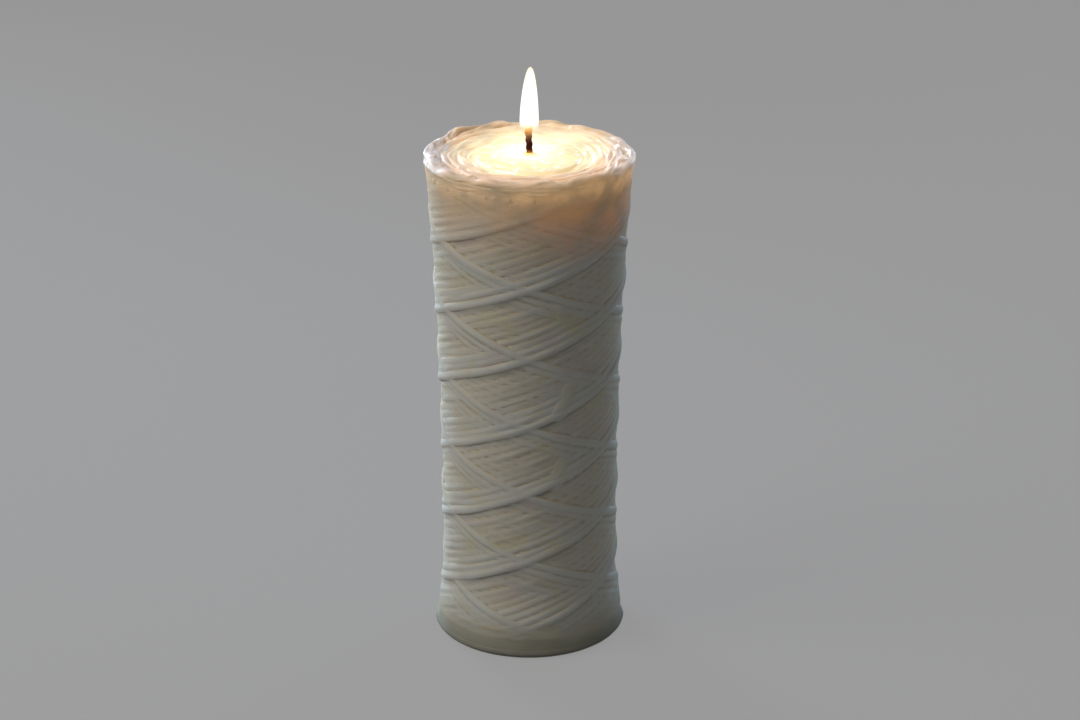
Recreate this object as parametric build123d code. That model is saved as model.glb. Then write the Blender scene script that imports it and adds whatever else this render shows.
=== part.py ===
import math
import os

import numpy as np
from build123d import *

# A lit pillar candle whose wall is a lattice of wax cords, wound over and under each other round a waisted core.
# Millimetres, +Z up, the origin at the middle of the face that the candle stands on. The front faces -Y.

# Overall sizes
rim_height = 168.0          # table to the crest of the rim
rim_radius = 34.3           # outside of the widest loop of the rim
foot_radius = 32.6          # outside of the foot, just above the table
foot_height = 10.5          # plain wax below the winding
foot_edge = 1.6             # rounding of the foot's lower edge
foot_lean = 1.4             # how far the foot's side leans in towards its top
foot_bow = 0.35             # how far that side bows in from a straight line

# The core under the winding
waist_radius = 23.3         # core at its narrowest
waist_bottom = 26.0         # the straight waist runs between these two heights
waist_top = 48.0
seat_gap = 0.1              # clearance between pieces that seat on each other

# The winding
cord_diameter = 3.0
pitch = 72.6                # climb of a cord in one turn
cord_crossing_gap = 0.32    # between cords that cross
cords_per_band = 5
band_starts = 3             # bands of each hand, evenly round the candle
crossing_angle = 18.0       # degrees right of the front, where rising bands pass over
crossing_height = 22.8      # height of one such crossing

# The rim, where the cord is laid round the top face
rim_loops = 5
rim_loop_gap = 0.7
rim_start_angle = -20.0     # degrees right of the front
rim_crossover = 70.0        # degrees that each loop takes to step in beside the last

# Pool, wick and flame
pool_depth = 3.0
pool_fall = 1.5             # pool surface below the crest of the rim
meniscus_height = 0.7       # how far the pool climbs the wick
meniscus_width = 2.8        # how far from the wick it starts to climb
wick_diameter = 2.2
wick_clearance = 0.05
wick_rise = 10.9            # burnt tip above the pool
wick_recess = 0.6           # wick end above the table
tip_length = 3.4            # swollen, glowing end of the wick
tip_shoulder = 1.1          # its widest place below the top
tip_swell = 0.25            # how far it swells past the wick's own radius
flame_hold = 6.6            # how far down the wick the flame starts
flame_height = 26.5
flame_radius = 3.4
flame_belly = 8.0           # height of the widest part above the flame's lower end
flame_clearance = 0.2       # between the flame and the wick

# Worked out from the sizes above
cord_radius = cord_diameter / 2
lift = cord_diameter + cord_crossing_gap
lay_radius = waist_radius + seat_gap + cord_radius
band_slots = cords_per_band + 1
slots = band_starts * band_slots
slot_angle = 360 / slots
lead_angle = math.atan(pitch / (2 * math.pi * lay_radius))
slot_rise = pitch / slots
cord_spacing = slot_rise * math.cos(lead_angle)
column_angle = 180 / band_starts
wall = seat_gap + cord_diameter + lift
core_top_flare = rim_radius - wall - waist_radius
core_bottom_flare = foot_radius - foot_lean - wall - waist_radius
rim_step = cord_diameter + rim_loop_gap
rim_level = rim_height - cord_radius
rim_outer = rim_radius - cord_radius
core_top = rim_height - cord_diameter - seat_gap
pool_level = rim_height - pool_fall
pool_radius = rim_outer - (rim_loops - 1) * rim_step - cord_radius - 2 * seat_gap
wick_top = pool_level + wick_rise
flame_bottom = wick_top - flame_hold
bore_radius = wick_diameter / 2 + wick_clearance
point_step = cord_diameter / 6
end_room = cord_radius * math.cos(lead_angle) + cord_diameter * math.sin(lead_angle) + seat_gap
cord_low = foot_height + end_room
cord_high = core_top - end_room


# A flare is an arc that leaves the straight waist smoothly and has widened by the rise at the end of its run.
def curvature(run, rise):
    return 2 * rise / (run * run + rise * rise)


def flare(distance, run, rise):
    bend = curvature(run, rise) * distance
    return bend * distance / (1 + math.sqrt(1 - bend * bend))


def flare_slope(distance, run, rise):
    bend = curvature(run, rise) * distance
    return bend / math.sqrt(1 - bend * bend)


def core_radius(z):
    if z > waist_top:
        return waist_radius + flare(z - waist_top, core_top - waist_top, core_top_flare)
    if z < waist_bottom:
        return waist_radius + flare(waist_bottom - z, waist_bottom - foot_height, core_bottom_flare)
    return waist_radius


# How fast the core widens with height.
def core_slope(z):
    if z > waist_top:
        return flare_slope(z - waist_top, core_top - waist_top, core_top_flare)
    if z < waist_bottom:
        return -flare_slope(waist_bottom - z, waist_bottom - foot_height, core_bottom_flare)
    return 0.0


def round_axis(angle, radius, z):
    a = math.radians(angle)
    return Vector(radius * math.sin(a), -radius * math.cos(a), z)


# A station of a winding is a point and the direction in which the cord passes it.
def station(angle, radius, z, turn, climb=0.0, spread=0.0):
    a = math.radians(angle)
    outward = Vector(math.sin(a), -math.cos(a), 0)
    around = Vector(math.cos(a), math.sin(a), 0)
    heading = around * (turn * radius) + outward * spread + Vector(0, 0, climb)
    return round_axis(angle, radius, z), heading.normalized()


# Two arcs that meet smoothly and join one station to the next.
def biarc(first, second):
    start, leaving = first
    end, arriving = second
    chord = end - start
    bend = 1 - leaving.dot(arriving)
    parallel = 1e-9
    along = chord.dot(leaving + arriving)
    square = chord.dot(chord)
    reach = square / (2 * along)
    if bend > parallel:
        reach = (math.sqrt(along * along + 2 * bend * square) - along) / (2 * bend)
    near = start + leaving * reach
    far = end - arriving * reach
    middle = (near + far) * 0.5
    return [
        Edge.make_tangent_arc(start, leaving, middle),
        Edge.make_tangent_arc(middle, far - near, end),
    ]


# A winding's centre line, with a straight run of one diameter at each end.
def winding_path(stations):
    start, leaving = stations[0]
    end, arriving = stations[-1]
    edges = [Edge.make_line(start - leaving * cord_diameter, start)]
    for first, second in zip(stations[:-1], stations[1:]):
        edges += biarc(first, second)
    edges.append(Edge.make_line(end, end + arriving * cord_diameter))
    return Wire(edges)


def winding_tube(path):
    section = Plane(origin=path.position_at(0), z_dir=path.tangent_at(0)) * Circle(cord_radius)
    return sweep(section, path=path)


# The angles between which a cord meets one crossing band, and whether it passes over there. The angle is counted in
# the direction in which the cord climbs, so a falling cord's is turned round.
def crossing_spans(hand, index):
    width = (cords_per_band - 1) * slot_angle / 2
    columns = 2 * band_starts * (math.ceil(rim_height / pitch) + 1)
    spans = []
    for column in range(-columns, columns):
        start = crossing_angle + column * column_angle + index * slot_angle / 2 - width
        if hand < 0:
            start = -start - width
        over = (column % 2 == 0) == (hand > 0)
        spans.append((start, start + width, over))
    return sorted(spans)


# Stations of one cord: it keeps its level while it meets a band, and changes level between two bands. An end that
# would fall in the half of a change away from the cord is drawn back to where the change is done.
def cord_stations(hand, band, index):
    middle = (cords_per_band - 1) / 2
    slot = band * band_slots + index - middle
    climb = pitch / 360
    zero = crossing_height - hand * (slot * slot_rise + crossing_angle * climb)
    low = (cord_low - zero) / climb
    high = (cord_high - zero) / climb
    spans = [span for span in crossing_spans(hand, index) if span[1] > low and span[0] < high]
    change = (column_angle - (spans[0][1] - spans[0][0])) / 2
    stops = []
    for number, (start, end, over) in enumerate(spans):
        if number == 0 and low > start - change:
            start = low
        if number == len(spans) - 1 and high < end + change:
            end = high
        stops += [(start, over), (end, over)]
    stations = []
    for angle, over in stops:
        z = zero + climb * angle
        radius = core_radius(z) + seat_gap + cord_radius + (lift if over else 0)
        rise = pitch / (2 * math.pi)
        stations.append(station(hand * angle, radius, z, hand, rise, core_slope(z) * rise))
    return stations


# Loops of the rim, from the widest inwards, each stepping in beside the last over the same few degrees.
def rim_stations():
    stations = []
    angle = rim_start_angle
    third = (360 - rim_crossover) / 3
    for loop in range(rim_loops):
        radius = rim_outer - loop * rim_step
        for part in range(4):
            stations.append(station(angle + part * third, radius, rim_level, 1))
        angle += 360
    return stations[:-1]


def make_core():
    top_mid = (core_top + waist_top) / 2
    bottom_mid = (foot_height + waist_bottom) / 2
    with BuildPart() as made:
        with BuildSketch(Plane.XZ):
            with BuildLine():
                Line((0, foot_height), (waist_radius + core_bottom_flare, foot_height))
                ThreePointArc(
                    (waist_radius + core_bottom_flare, foot_height),
                    (core_radius(bottom_mid), bottom_mid),
                    (waist_radius, waist_bottom),
                )
                Line((waist_radius, waist_bottom), (waist_radius, waist_top))
                ThreePointArc(
                    (waist_radius, waist_top),
                    (core_radius(top_mid), top_mid),
                    (waist_radius + core_top_flare, core_top),
                )
                Polyline(
                    (waist_radius + core_top_flare, core_top),
                    (pool_radius + seat_gap, core_top),
                    (pool_radius + seat_gap, pool_level - pool_depth - seat_gap),
                    (0, pool_level - pool_depth - seat_gap),
                    (0, foot_height),
                )
            make_face()
        revolve(axis=Axis.Z)
        Cylinder(bore_radius, 2 * rim_height, mode=Mode.SUBTRACT)
    return made.part


def make_foot():
    side_top = foot_radius - foot_lean
    with BuildPart() as made:
        with BuildSketch(Plane.XZ):
            with BuildLine():
                Polyline((side_top, foot_height), (0, foot_height), (0, 0), (foot_radius, 0))
                ThreePointArc(
                    (foot_radius, 0),
                    ((foot_radius + side_top) / 2 - foot_bow, foot_height / 2),
                    (side_top, foot_height),
                )
            make_face()
        revolve(axis=Axis.Z)
        fillet(made.edges().filter_by(GeomType.CIRCLE).group_by(Axis.Z)[0].sort_by(SortBy.RADIUS)[-1], foot_edge)
        Cylinder(bore_radius, 2 * rim_height, mode=Mode.SUBTRACT)
    return made.part


def make_wick():
    radius = wick_diameter / 2
    tip_bottom = wick_top - tip_length
    with BuildPart() as made:
        with BuildSketch(Plane.XZ):
            with BuildLine():
                Polyline((0, wick_top), (0, wick_recess), (radius, wick_recess), (radius, tip_bottom))
                Spline(
                    (radius, tip_bottom),
                    (radius + tip_swell, wick_top - tip_shoulder),
                    (0, wick_top),
                    tangents=[(0, 1), (-1, 0)],
                )
            make_face()
        revolve(axis=Axis.Z)
    return made.part


def make_pool():
    floor = pool_level - pool_depth
    inside = bore_radius
    climb = pool_level + meniscus_height
    with BuildPart() as made:
        with BuildSketch(Plane.XZ):
            with BuildLine():
                Polyline((inside, climb), (inside, floor), (pool_radius, floor), (pool_radius, pool_level))
                Line((pool_radius, pool_level), (inside + meniscus_width, pool_level))
                TangentArc(
                    (inside + meniscus_width, pool_level),
                    (inside, climb),
                    tangent=(-1, 0),
                )
            make_face()
        revolve(axis=Axis.Z)
    return made.part


def make_flame():
    inner = wick_diameter / 2 + tip_swell + flame_clearance
    roof = wick_top + flame_clearance
    with BuildPart() as made:
        with BuildSketch(Plane.XZ):
            with BuildLine():
                Spline(
                    (inner + flame_clearance, flame_bottom),
                    (flame_radius, flame_bottom + flame_belly),
                    (0, flame_bottom + flame_height),
                    tangents=[(1, 2), (0, 1), (-1, 4)],
                )
                Polyline(
                    (0, flame_bottom + flame_height),
                    (0, roof),
                    (inner, roof),
                    (inner, flame_bottom),
                    (inner + flame_clearance, flame_bottom),
                )
            make_face()
        revolve(axis=Axis.Z)
    return made.part


# Least clear distance between the tubes of two sets of centre points.
def least_gap(points, others):
    least = math.inf
    blocks = 20
    for block in np.array_split(points, blocks):
        apart = np.linalg.norm(block[:, None, :] - others[None, :, :], axis=2)
        least = min(least, apart.min())
    return least - cord_diameter


# Least clear distance of one tube to its own other turns.
def own_gap(points, step):
    skip = int(math.pi * cord_diameter / step) + 1
    apart = np.linalg.norm(points[:, None, :] - points[None, :, :], axis=2)
    number = np.arange(len(points))
    near = np.abs(number[:, None] - number[None, :]) < skip
    return apart[~near].min() - cord_diameter


# Points along a centre line, at most one step apart.
def sample(path, step):
    points = []
    for edge in path.edges():
        count = math.ceil(edge.length / step)
        points += edge.positions([number / count for number in range(count)])
    return np.array([tuple(point) for point in points])


def print_gaps(paths):
    clouds = {name: sample(path, point_step) for name, path in paths.items()}
    own = {name: own_gap(points, point_step) for name, points in clouds.items()}
    tightest = min(own, key=own.get)
    print("least gap of a wound tube to itself", round(own[tightest], 2), "in", tightest)
    between = math.inf
    names = list(clouds)
    for number, name in enumerate(names[:-1]):
        rest = np.concatenate([clouds[other] for other in names[number + 1:]])
        between = min(between, least_gap(clouds[name], rest))
    print("least gap between two wound tubes", round(between, 2))


def main():
    os.makedirs("parts", exist_ok=True)
    pieces = {
        "foot": make_foot(),
        "core": make_core(),
        "wick": make_wick(),
        "melt_pool": make_pool(),
        "flame": make_flame(),
    }
    paths = {"rim_coil": winding_path(rim_stations())}
    for hand, word in ((1, "rising"), (-1, "falling")):
        for band in range(band_starts):
            for index in range(cords_per_band):
                name = f"{word}_cord_{band + 1}_{index + 1}"
                paths[name] = winding_path(cord_stations(hand, band, index))
    print("lead angle", round(math.degrees(lead_angle), 2), "cord spacing", round(cord_spacing, 2))
    print_gaps(paths)
    for name, path in paths.items():
        pieces[name] = winding_tube(path)
    for name, shape in pieces.items():
        export_step(shape, f"parts/{name}.step")


main()
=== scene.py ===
import math

import bmesh
import bpy
import numpy as np
from mathutils import Matrix, Vector


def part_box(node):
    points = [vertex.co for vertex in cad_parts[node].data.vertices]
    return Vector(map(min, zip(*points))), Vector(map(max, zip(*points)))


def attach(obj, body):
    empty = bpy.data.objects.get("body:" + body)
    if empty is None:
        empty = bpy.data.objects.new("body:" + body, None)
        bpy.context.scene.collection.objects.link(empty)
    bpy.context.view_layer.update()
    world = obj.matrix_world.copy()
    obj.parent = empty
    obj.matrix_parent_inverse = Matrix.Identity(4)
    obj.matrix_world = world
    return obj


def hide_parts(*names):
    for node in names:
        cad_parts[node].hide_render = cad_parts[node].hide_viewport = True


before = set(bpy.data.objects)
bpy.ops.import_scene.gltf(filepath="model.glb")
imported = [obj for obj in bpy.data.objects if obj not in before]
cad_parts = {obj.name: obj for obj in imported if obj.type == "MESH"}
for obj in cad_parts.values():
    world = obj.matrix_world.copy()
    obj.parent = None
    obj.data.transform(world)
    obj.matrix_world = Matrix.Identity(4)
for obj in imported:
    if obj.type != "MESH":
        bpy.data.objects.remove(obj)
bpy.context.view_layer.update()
print("frame loaded:", len(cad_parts), "nodes")

# Lengths are in millimetres and angles in degrees to the right of the front. mm turns them into metres.
mm = 0.001


def topOf(node):
    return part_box(node)[1].z / mm


def reachOf(node):
    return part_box(node)[1].x / mm


candle = {
    "footTop": topOf("foot"),
    "footRadius": reachOf("foot"),
    "coreTop": topOf("core"),
    "coreTopRadius": reachOf("core"),
    "rimTop": topOf("rim_coil"),
    "rimRadius": reachOf("rim_coil"),
    "waistRadius": 23.3,
    "waistBottom": 26.0,
    "waistTop": 48.0,
    "bottomFlare": 1.5,
    "wall": 6.4,            # the winding's thickness over the core
}
print("candle:", {key: round(value, 2) for key, value in candle.items()})


def smoothStep(low, high, value):
    t = np.clip((value - low) / (high - low), 0.0, 1.0)
    return t * t * (3.0 - 2.0 * t)


# Slow uneven waves: (waves in a turn, size) pairs. The large factors only scatter the phases, seed by seed.
def wave(seed, angle, sizes):
    total = 0.0
    for number, (turns, size) in enumerate(sizes):
        phase = np.modf(np.sin(seed * 12.9898 + number * 78.233 + 4.1) * 43758.5453)[0]
        total = total + size * np.sin(np.radians(angle * turns) + 2.0 * math.pi * phase)
    return total


def roundAxis(angle, radius, z):
    a = math.radians(angle)
    return Vector((radius * math.sin(a), -radius * math.cos(a), z)) * mm


def readPoints(mesh):
    flat = np.empty(len(mesh.vertices) * 3, np.float32)
    mesh.vertices.foreach_get("co", flat)
    return flat.reshape(-1, 3).astype(float).T / mm


def readCylinder(mesh):
    x, y, z = readPoints(mesh)
    return np.degrees(np.arctan2(x, -y)), np.hypot(x, y), z


def writeCylinder(mesh, angle, radius, z):
    a = np.radians(angle)
    points = np.stack([radius * np.sin(a), -radius * np.cos(a), z], axis=1) * mm
    mesh.vertices.foreach_set("co", points.astype(np.float32).ravel())
    mesh.update()


def addAttribute(mesh, name, values):
    layer = mesh.attributes.new(name, "FLOAT", "POINT")
    layer.data.foreach_set("value", np.broadcast_to(values, len(mesh.vertices)).astype(np.float32))


def newObject(name, data):
    made = bpy.data.objects.new(name, data)
    bpy.context.scene.collection.objects.link(made)
    return made


def finishPiece(name, mesh, material, nodes=()):
    mesh.name = name
    mesh.shade_smooth()
    mesh.materials.clear()
    mesh.materials.append(material)
    piece = newObject(name, mesh)
    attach(piece, "root")
    if nodes:
        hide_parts(*nodes)
    return piece


def meshFrom(bm, name):
    mesh = bpy.data.meshes.new(name)
    bm.to_mesh(mesh)
    bm.free()
    return mesh


def applyModifiers(holder):
    graph = bpy.context.evaluated_depsgraph_get()
    mesh = bpy.data.meshes.new_from_object(holder.evaluated_get(graph))
    bpy.data.objects.remove(holder)
    return mesh


# Carries the outline in bm round the axis, and up it where rise is set. Open ends are closed flat.
def carryRound(bm, name, turn, steps, rise=0.0):
    holder = newObject(name, meshFrom(bm, name))
    screw = holder.modifiers.new("screw", "SCREW")
    screw.angle = math.radians(turn)
    screw.screw_offset = rise * mm
    screw.steps = steps
    screw.render_steps = steps
    mesh = applyModifiers(holder)
    bm = bmesh.new()
    bm.from_mesh(mesh)
    bmesh.ops.remove_doubles(bm, verts=bm.verts, dist=0.001 * mm)
    bmesh.ops.holes_fill(bm, edges=[edge for edge in bm.edges if edge.is_boundary], sides=0)
    bmesh.ops.recalc_face_normals(bm, faces=bm.faces)
    bm.to_mesh(mesh)
    bm.free()
    return mesh


# A solid turned from an outline of (radius, height) points. An open outline starts and ends on the axis.
def turnOutline(name, outline, steps, closed=True):
    bm = bmesh.new()
    corners = [bm.verts.new(roundAxis(0.0, radius, z)) for radius, z in outline]
    for pair in zip(corners, corners[1:] + corners[:1] if closed else corners[1:]):
        bm.edges.new(pair)
    return carryRound(bm, name, 360.0, steps)


# Helpers for material nodes
def newMaterial(name):
    made = bpy.data.materials.new(name)
    made.use_nodes = True
    return made, made.node_tree, made.node_tree.nodes["Principled BSDF"]


def addNode(tree, kind, inputs=None, **settings):
    made = tree.nodes.new("ShaderNode" + kind)
    for key, value in settings.items():
        setattr(made, key, value)
    setInputs(tree, made, inputs or {})
    return made


def setInputs(tree, node, inputs):
    for key, value in inputs.items():
        if isinstance(value, bpy.types.NodeSocket):
            tree.links.new(value, node.inputs[key])
        else:
            node.inputs[key].default_value = value


def colour(red, green, blue):
    def toLinear(value):
        share = value / 255.0
        return share / 12.92 if share <= 0.04045 else ((share + 0.055) / 1.055) ** 2.4
    return (toLinear(red), toLinear(green), toLinear(blue), 1.0)


def rampColour(tree, factor, stops):
    node = addNode(tree, "ValToRGB", {"Fac": factor})
    elements = node.color_ramp.elements
    while len(elements) < len(stops):
        elements.new(1.0)
    for element, (position, value) in zip(elements, stops):
        element.position = position
        element.color = value
    return node.outputs["Color"]


def mapValue(tree, value, fromLow, fromHigh, toLow=0.0, toHigh=1.0, smooth=False):
    limits = {"From Min": fromLow, "From Max": fromHigh, "To Min": toLow, "To Max": toHigh}
    kind = "SMOOTHSTEP" if smooth else "LINEAR"
    return addNode(tree, "MapRange", {"Value": value, **limits}, interpolation_type=kind).outputs["Result"]


def blendColour(tree, factor, first, second):
    return addNode(tree, "Mix", {0: factor, 6: first, 7: second}, data_type="RGBA").outputs[2]


# A tint covers the wax under it by its share, where the value that it follows goes from "off" to "full".
def addTint(tree, value, under, tint, smooth=False):
    cover = mapValue(tree, value, tint["off"], tint["full"], 0.0, tint["share"], smooth)
    return blendColour(tree, cover, under, tint["colour"])


def calculate(tree, operation, first, second=0.0):
    return addNode(tree, "Math", {0: first, 1: second}, operation=operation).outputs[0]


# Object coordinates in millimetres. The plan leaves the height out.
def measuredPlace(tree, place, plan=False):
    scale = (1.0 / mm, 1.0 / mm, 0.0 if plan else 1.0 / mm)
    return addNode(tree, "VectorMath", {0: place, 1: scale}, operation="MULTIPLY").outputs[0]


def measure(tree, operation, *vectors):
    return addNode(tree, "VectorMath", dict(enumerate(vectors)), operation=operation).outputs["Value"]


def noiseValue(tree, place, scale, detail, roughness):
    inputs = {"Vector": place, "Scale": scale, "Detail": detail, "Roughness": roughness}
    return addNode(tree, "TexNoise", inputs).outputs["Fac"]


def addBump(tree, height, strength, depth):
    return addNode(tree, "Bump", {"Height": height, "Strength": strength, "Distance": depth * mm})


# Tints of the wall, from the first to the last
waxTints = {
    "crown": {"colour": colour(154, 153, 146), "off": 0.6, "full": 0.0, "share": 0.5},  # outermost cords
    "under": {"colour": colour(154, 138, 110), "off": 0.4, "full": 1.2, "share": 0.6},  # cords laid first
    # painted shadow: dark grey in the deepest recesses under the proud cords
    "deepShade": {"colour": colour(104, 99, 91), "off": 1.6, "full": 2.8, "share": 0.85},
    "film": {"colour": colour(148, 150, 148), "off": 0.48, "full": 0.72, "share": 0.4},  # grey bloom
    "olive": {"colour": colour(152, 145, 112), "off": 0.55, "full": 0.72, "share": 0.45},  # faint stains
    "mauve": {"colour": colour(150, 139, 132), "off": 0.45, "full": 0.3, "share": 0.45},
    "creaseShadow": {"colour": colour(92, 94, 95), "off": 0.0, "full": 1.0, "share": 0.62},  # painted shadow right under cords that stand proud
    "speckle": {"colour": colour(146, 130, 103), "off": 0.55, "full": 0.8, "share": 0.2},
    # painted shade: darker and more olive towards the table
    "foot": {"colour": colour(128, 126, 110), "off": 17.0, "full": 4.0, "share": 0.8},
    # painted shade: nearly black at the bottom edge by the table
    "footEdgeShade": {"colour": colour(60, 61, 55), "off": 7.0, "full": 0.0, "share": 0.85},
    "paintedFlameLight": {"colour": colour(152, 137, 112), "off": 0.0, "full": 0.8, "share": 0.8},  # painted warm flame light, growing towards the rim
}
waxLook = {
    "softTints": ("film", "olive", "mauve", "foot"),    # these fade in smoothly
    "ridge": colour(154, 151, 140),
    "body": colour(152, 147, 133),
    "valley": colour(146, 130, 103),
    "streak": 0.25,
    # the rim's tones: the pale wax with painted warm flame light, darker and more orange in its grooves
    "rim": colour(219, 189, 165),
    "rimValley": colour(214, 172, 136),
    "rimFade": (165.0, 168.2),
    "rimRagged": 1.0,                   # the pale edge wanders up and down
    "rimFrontShift": 1.1,               # and begins higher at the front
    "rimEnds": {"colour": colour(198, 192, 192), "off": 22.0, "full": 31.0, "share": 0.9},  # in daylight
    "faceRadius": (32.6, 30.4),         # wax within this radius and above faceBottom is top face
    "faceBottom": (159.0, 161.0),
    "inner": colour(255, 242, 202),     # beside the pool: painted bright flame light
    "innerFade": (29.0, 16.0),
    "innerCentre": (0.0, 5.0, 0.0),     # the melted patch lies a little behind the wick
    "innerShare": 0.8,
    "innerGlow": 0.36,
    "glowBottom": 138.0,
    "glow": ((0.0, colour(0, 0, 0)), (0.45, colour(65, 29, 0)), (0.7, colour(92, 54, 0)),
             (0.86, colour(138, 101, 60)), (1.0, colour(106, 83, 54))),
    "glowSides": (-34.0, 30.0, 0.55, 1.2),      # from the left to the right, weaker and stronger
    "glowPatches": (0.35, 0.65, 0.55, 1.4),
    "dullness": (0.3, 0.7, 0.54, 0.7),
    "rimSheen": 0.12,
    "cloud": (70.0, 5.0, 0.6),          # scale, detail and roughness of each noise
    "patch": (95.0, 2.0, 0.5),
    "grain": (900.0, 3.0, 0.6),
    "fibre": (1.0, 4.0, 0.6),
    "glowPatch": (110.0, 2.0, 0.5),
    "grainBump": (0.25, 0.12),
    "fibreBump": (0.5, 0.3),
    "finish": {
        "Specular IOR Level": 0.35, "Subsurface Weight": 0.25,
        "Subsurface Radius": (1.0, 0.6, 0.35), "Subsurface Scale": 0.8 * mm,
    },
}


def makeWax():
    made, tree, shader = newMaterial("wax")
    look = waxLook
    place = addNode(tree, "TexCoord").outputs["Object"]
    split = addNode(tree, "SeparateXYZ", {"Vector": measuredPlace(tree, place)}).outputs
    names = ("depth", "valley", "along", "around", "creaseShadow")
    carried = [addNode(tree, "Attribute", attribute_name=name).outputs["Fac"] for name in names]
    depth, valley, along, around, creaseShadow = carried
    strand = addNode(tree, "CombineXYZ", {"X": along, "Y": around}).outputs["Vector"]
    cloud = noiseValue(tree, place, *look["cloud"])
    patch = noiseValue(tree, place, *look["patch"])
    grain = noiseValue(tree, place, *look["grain"])
    fibre = noiseValue(tree, strand, *look["fibre"])
    height = mapValue(tree, split["Z"], look["glowBottom"], candle["rimTop"])
    # Wax on the wall
    streak = mapValue(tree, fibre, 0.3, 0.7, -look["streak"], look["streak"])
    streaked = calculate(tree, "ADD", valley, streak)
    wall = rampColour(tree, streaked, ((0.0, look["ridge"]), (0.35, look["body"]), (1.0, look["valley"])))
    follows = {
        "crown": depth, "under": depth, "deepShade": depth, "film": cloud, "olive": patch, "mauve": patch,
        "creaseShadow": creaseShadow, "speckle": grain, "foot": split["Z"], "footEdgeShade": split["Z"], "paintedFlameLight": height,
    }
    for name, tint in waxTints.items():
        wall = addTint(tree, follows[name], wall, tint, name in look["softTints"])
    # Rim and top face, in painted warm flame light, with painted daylight at the ends
    plan = measuredPlace(tree, place, plan=True)
    sideways = calculate(tree, "ABSOLUTE", split["X"])
    sides = look["rimEnds"]
    shift = mapValue(tree, sideways, sides["off"], sides["full"], look["rimFrontShift"], 0.0, True)
    ragged = mapValue(tree, cloud, 0.3, 0.7, -look["rimRagged"], look["rimRagged"])
    crest = calculate(tree, "SUBTRACT", calculate(tree, "ADD", split["Z"], ragged), shift)
    upper = mapValue(tree, crest, *look["rimFade"], smooth=True)
    within = mapValue(tree, measure(tree, "LENGTH", plan), *look["faceRadius"])
    above = mapValue(tree, split["Z"], *look["faceBottom"])
    top = calculate(tree, "MAXIMUM", upper, calculate(tree, "MULTIPLY", within, above))
    rimLay = rampColour(tree, valley, ((0.0, look["rim"]), (1.0, look["rimValley"])))
    rimmed = blendColour(tree, top, wall, addTint(tree, sideways, rimLay, sides, True))
    near = mapValue(tree, measure(tree, "DISTANCE", plan, look["innerCentre"]), *look["innerFade"])
    inner = calculate(tree, "MULTIPLY", near, top)
    painted = blendColour(tree, calculate(tree, "MULTIPLY", inner, look["innerShare"]), rimmed, look["inner"])
    # Flame light that comes through the wax
    glow = rampColour(tree, height, look["glow"])
    glow = blendColour(tree, calculate(tree, "MULTIPLY", inner, look["innerGlow"]), glow, look["inner"])
    patchy = mapValue(tree, noiseValue(tree, place, *look["glowPatch"]), *look["glowPatches"])
    sided = mapValue(tree, split["X"], *look["glowSides"])
    # Surface
    fine = addBump(tree, grain, *look["grainBump"])
    rough = addBump(tree, fibre, *look["fibreBump"])
    setInputs(tree, rough, {"Normal": fine.outputs["Normal"]})
    dullness = mapValue(tree, cloud, *look["dullness"])
    sheen = mapValue(tree, top, 0.0, 1.0, 0.0, look["rimSheen"])
    setInputs(tree, shader, {
        "Base Color": painted,
        "Emission Color": glow,
        "Emission Strength": calculate(tree, "MULTIPLY", sided, patchy),
        "Roughness": calculate(tree, "SUBTRACT", dullness, sheen),
        "Normal": rough.outputs["Normal"],
        **look["finish"],
    })
    return made


# The pool's tones are painted flame light, brightest in the middle near the wick, and its emission is a
# painted glow.
poolLook = {
    "bright": colour(255, 250, 222),
    "middle": colour(255, 236, 176),
    "edge": colour(250, 226, 178),
    "fadePast": 5.0,                    # the edge's tone is full this far outside the pool
    "fleck": {"colour": colour(255, 252, 240), "off": 0.52, "full": 0.62, "share": 0.9},
    "amber": {"colour": colour(255, 200, 104), "off": 3.2, "full": 1.0, "share": 0.9},  # round the wick
    "flecks": (330.0, 4.0, 0.65),
    "glow": (0.2, 1.0, 0.5, 0.3),
    "dullness": (0.3, 0.7, 0.08, 0.28),
    "bump": (0.5, 0.6),
    "finish": {"Coat Weight": 0.4, "Coat Roughness": 0.06},
}


def makeMeltedWax(radius):
    made, tree, shader = newMaterial("meltedWax")
    look = poolLook
    place = addNode(tree, "TexCoord").outputs["Object"]
    plan = measuredPlace(tree, place, plan=True)
    aside = measure(tree, "DISTANCE", plan, waxLook["innerCentre"])
    share = mapValue(tree, aside, 0.0, radius + look["fadePast"])
    tone = rampColour(tree, share, ((0.25, look["bright"]), (0.62, look["middle"]), (1.0, look["edge"])))
    flecks = noiseValue(tree, place, *look["flecks"])
    tone = addTint(tree, flecks, tone, look["fleck"], True)
    tone = addTint(tree, measure(tree, "LENGTH", plan), tone, look["amber"], True)
    setInputs(tree, shader, {
        "Base Color": tone,
        "Emission Color": tone,
        "Emission Strength": mapValue(tree, share, *look["glow"], smooth=True),
        "Roughness": mapValue(tree, flecks, *look["dullness"]),
        "Normal": addBump(tree, flecks, *look["bump"]).outputs["Normal"],
        **look["finish"],
    })
    return made


wickLook = {
    "soaked": colour(208, 140, 62),
    "char": colour(58, 16, 8),
    "ash": colour(128, 76, 34),
    "ember": colour(236, 164, 66),
    "grain": (1500.0, 4.0, 0.65),
    "ragged": 0.06,
    "glow": (0.55, 0.9, 0.0, 0.45),
    "bump": (0.5, 0.15),
    "finish": {"Roughness": 0.85, "Specular IOR Level": 0.1},
}


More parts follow.
